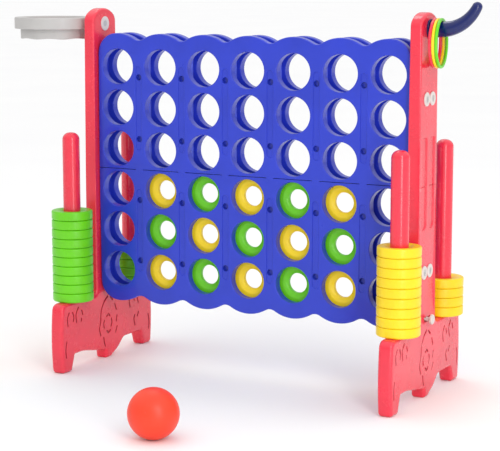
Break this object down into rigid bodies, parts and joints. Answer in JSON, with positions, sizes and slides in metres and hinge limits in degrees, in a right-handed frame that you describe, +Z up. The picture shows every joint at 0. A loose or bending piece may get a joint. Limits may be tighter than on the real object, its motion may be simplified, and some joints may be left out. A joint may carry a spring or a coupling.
{
  "type": "giant four in a row game",
  "caption": "Upright lawn game board of seven columns on two footed posts, with drop-in discs, storage pegs, a release slider, a hoop, a ring hook, toss rings and a ball.",
  "frame": {"origin": "on the floor, midway between the two feet and on the board's middle plane", "axes": "+X along the board towards the ring hook, +Y to the back, +Z up"},
  "size_m": [1.4686, 1.024, 1.0838],
  "materials": {
    "red_plastic": "moulded, satin gloss",
    "blue_plastic": "moulded, satin gloss",
    "yellow_plastic": "moulded, satin gloss",
    "green_plastic": "moulded, satin gloss",
    "white_plastic": "moulded",
    "grey_plastic": "moulded, satin",
    "navy_plastic": "moulded, gloss",
    "screw_steel": "zinc plated",
    "ball_rubber": "pebbled, matte"
  },
  "bodies": {
    "root": {"front_upper_panel": "blue_plastic", "front_lower_panel": "blue_plastic", "back_upper_panel": "blue_plastic", "back_lower_panel": "blue_plastic", "column_dividers": "blue_plastic", "panel_screws": "screw_steel", "left_leg": "red_plastic", "left_upper_post": "red_plastic", "right_leg": "red_plastic", "right_upper_post": "red_plastic", "left_post_screws": "screw_steel", "right_post_screws": "screw_steel", "left_screw_caps": "white_plastic", "right_screw_caps": "white_plastic", "front_left_peg": "red_plastic", "back_left_peg": "red_plastic", "front_right_peg": "red_plastic", "back_right_peg": "red_plastic", "hoop": "grey_plastic", "hoop_bracket": "grey_plastic", "hoop_bolt": "screw_steel", "hoop_bolt_cap": "white_plastic", "ring_hook": "navy_plastic", "hook_bolt": "screw_steel", "hook_bolt_cap": "white_plastic"},
    "release_slider": {"release_slider": "white_plastic", "slider_knob": "white_plastic"},
    "disc_column2_row6": {"disc_column2_row6": "yellow_plastic"},
    "disc_column2_row5": {"disc_column2_row5": "green_plastic"},
    "disc_column2_row4": {"disc_column2_row4": "yellow_plastic"},
    "disc_column3_row6": {"disc_column3_row6": "green_plastic"},
    "disc_column3_row5": {"disc_column3_row5": "yellow_plastic"},
    "disc_column3_row4": {"disc_column3_row4": "green_plastic"},
    "disc_column4_row6": {"disc_column4_row6": "yellow_plastic"},
    "disc_column4_row5": {"disc_column4_row5": "green_plastic"},
    "disc_column4_row4": {"disc_column4_row4": "yellow_plastic"},
    "disc_column5_row6": {"disc_column5_row6": "green_plastic"},
    "disc_column5_row5": {"disc_column5_row5": "yellow_plastic"},
    "disc_column5_row4": {"disc_column5_row4": "green_plastic"},
    "disc_column6_row6": {"disc_column6_row6": "yellow_plastic"},
    "disc_column6_row5": {"disc_column6_row5": "green_plastic"},
    "disc_column6_row4": {"disc_column6_row4": "yellow_plastic"},
    "front_left_disc_stack": {"front_left_disc_stack": "green_plastic"},
    "front_left_disc_9": {"front_left_disc_9": "green_plastic"},
    "front_left_disc_10": {"front_left_disc_10": "green_plastic"},
    "back_left_disc_stack": {"back_left_disc_stack": "green_plastic"},
    "back_left_disc_4": {"back_left_disc_4": "green_plastic"},
    "front_right_disc_stack": {"front_right_disc_stack": "yellow_plastic"},
    "front_right_disc_8": {"front_right_disc_8": "yellow_plastic"},
    "front_right_disc_9": {"front_right_disc_9": "yellow_plastic"},
    "back_right_disc_stack": {"back_right_disc_stack": "yellow_plastic"},
    "back_right_disc_4": {"back_right_disc_4": "yellow_plastic"},
    "red_toss_ring": {"red_toss_ring": "red_plastic"},
    "yellow_toss_ring": {"yellow_toss_ring": "yellow_plastic"},
    "green_toss_ring": {"green_toss_ring": "green_plastic"},
    "play_ball": {"play_ball": "ball_rubber"}
  },
  "joints": [
    {"name": "release_slider_pull", "type": "slide", "parent": "root", "child": "release_slider", "axis": [1, 0, 0], "range_m": [0, 0.0715]},
    {"name": "disc_column2_row6_lift", "type": "slide", "parent": "root", "child": "disc_column2_row6", "axis": [0, 0, 1], "range_m": [0, 0.78]},
    {"name": "disc_column2_row5_lift", "type": "slide", "parent": "disc_column2_row6", "child": "disc_column2_row5", "axis": [0, 0, 1], "range_m": [0, 0.66]},
    {"name": "disc_column2_row4_lift", "type": "slide", "parent": "disc_column2_row5", "child": "disc_column2_row4", "axis": [0, 0, 1], "range_m": [0, 0.54]},
    {"name": "disc_column3_row6_lift", "type": "slide", "parent": "root", "child": "disc_column3_row6", "axis": [0, 0, 1], "range_m": [0, 0.78]},
    {"name": "disc_column3_row5_lift", "type": "slide", "parent": "disc_column3_row6", "child": "disc_column3_row5", "axis": [0, 0, 1], "range_m": [0, 0.66]},
    {"name": "disc_column3_row4_lift", "type": "slide", "parent": "disc_column3_row5", "child": "disc_column3_row4", "axis": [0, 0, 1], "range_m": [0, 0.54]},
    {"name": "disc_column4_row6_lift", "type": "slide", "parent": "root", "child": "disc_column4_row6", "axis": [0, 0, 1], "range_m": [0, 0.78]},
    {"name": "disc_column4_row5_lift", "type": "slide", "parent": "disc_column4_row6", "child": "disc_column4_row5", "axis": [0, 0, 1], "range_m": [0, 0.66]},
    {"name": "disc_column4_row4_lift", "type": "slide", "parent": "disc_column4_row5", "child": "disc_column4_row4", "axis": [0, 0, 1], "range_m": [0, 0.54]},
    {"name": "disc_column5_row6_lift", "type": "slide", "parent": "root", "child": "disc_column5_row6", "axis": [0, 0, 1], "range_m": [0, 0.78]},
    {"name": "disc_column5_row5_lift", "type": "slide", "parent": "disc_column5_row6", "child": "disc_column5_row5", "axis": [0, 0, 1], "range_m": [0, 0.66]},
    {"name": "disc_column5_row4_lift", "type": "slide", "parent": "disc_column5_row5", "child": "disc_column5_row4", "axis": [0, 0, 1], "range_m": [0, 0.54]},
    {"name": "disc_column6_row6_lift", "type": "slide", "parent": "root", "child": "disc_column6_row6", "axis": [0, 0, 1], "range_m": [0, 0.78]},
    {"name": "disc_column6_row5_lift", "type": "slide", "parent": "disc_column6_row6", "child": "disc_column6_row5", "axis": [0, 0, 1], "range_m": [0, 0.66]},
    {"name": "disc_column6_row4_lift", "type": "slide", "parent": "disc_column6_row5", "child": "disc_column6_row4", "axis": [0, 0, 1], "range_m": [0, 0.54]},
    {"name": "front_left_disc_stack_lift", "type": "slide", "parent": "root", "child": "front_left_disc_stack", "axis": [0, 0, 1], "range_m": [0, 0.51]},
    {"name": "front_left_disc_9_lift", "type": "slide", "parent": "front_left_disc_stack", "child": "front_left_disc_9", "axis": [0, 0, 1], "range_m": [0, 0.292]},
    {"name": "front_left_disc_10_lift", "type": "slide", "parent": "front_left_disc_9", "child": "front_left_disc_10", "axis": [0, 0, 1], "range_m": [0, 0.266]},
    {"name": "back_left_disc_stack_lift", "type": "slide", "parent": "root", "child": "back_left_disc_stack", "axis": [0, 0, 1], "range_m": [0, 0.51]},
    {"name": "back_left_disc_4_lift", "type": "slide", "parent": "back_left_disc_stack", "child": "back_left_disc_4", "axis": [0, 0, 1], "range_m": [0, 0.426]},
    {"name": "front_right_disc_stack_lift", "type": "slide", "parent": "root", "child": "front_right_disc_stack", "axis": [0, 0, 1], "range_m": [0, 0.51]},
    {"name": "front_right_disc_8_lift", "type": "slide", "parent": "front_right_disc_stack", "child": "front_right_disc_8", "axis": [0, 0, 1], "range_m": [0, 0.319]},
    {"name": "front_right_disc_9_lift", "type": "slide", "parent": "front_right_disc_8", "child": "front_right_disc_9", "axis": [0, 0, 1], "range_m": [0, 0.292]},
    {"name": "back_right_disc_stack_lift", "type": "slide", "parent": "root", "child": "back_right_disc_stack", "axis": [0, 0, 1], "range_m": [0, 0.51]},
    {"name": "back_right_disc_4_lift", "type": "slide", "parent": "back_right_disc_stack", "child": "back_right_disc_4", "axis": [0, 0, 1], "range_m": [0, 0.426]},
    {"name": "red_toss_ring_swing", "type": "hinge", "parent": "root", "child": "red_toss_ring", "pos_m": [0.5448, 0, 1.01], "axis": [0.9903, 0.1392, 0], "range_deg": [-35, 35]},
    {"name": "yellow_toss_ring_swing", "type": "hinge", "parent": "root", "child": "yellow_toss_ring", "pos_m": [0.5539, 0, 1.01], "axis": [0.9903, 0.1392, 0], "range_deg": [-35, 35]},
    {"name": "green_toss_ring_swing", "type": "hinge", "parent": "root", "child": "green_toss_ring", "pos_m": [0.563, 0, 1.01], "axis": [0.9903, 0.1392, 0], "range_deg": [-35, 35]},
    {"name": "play_ball_lift", "type": "slide", "parent": "root", "child": "play_ball", "axis": [0, 0, 1], "range_m": [0, 0.4]}
  ]
}
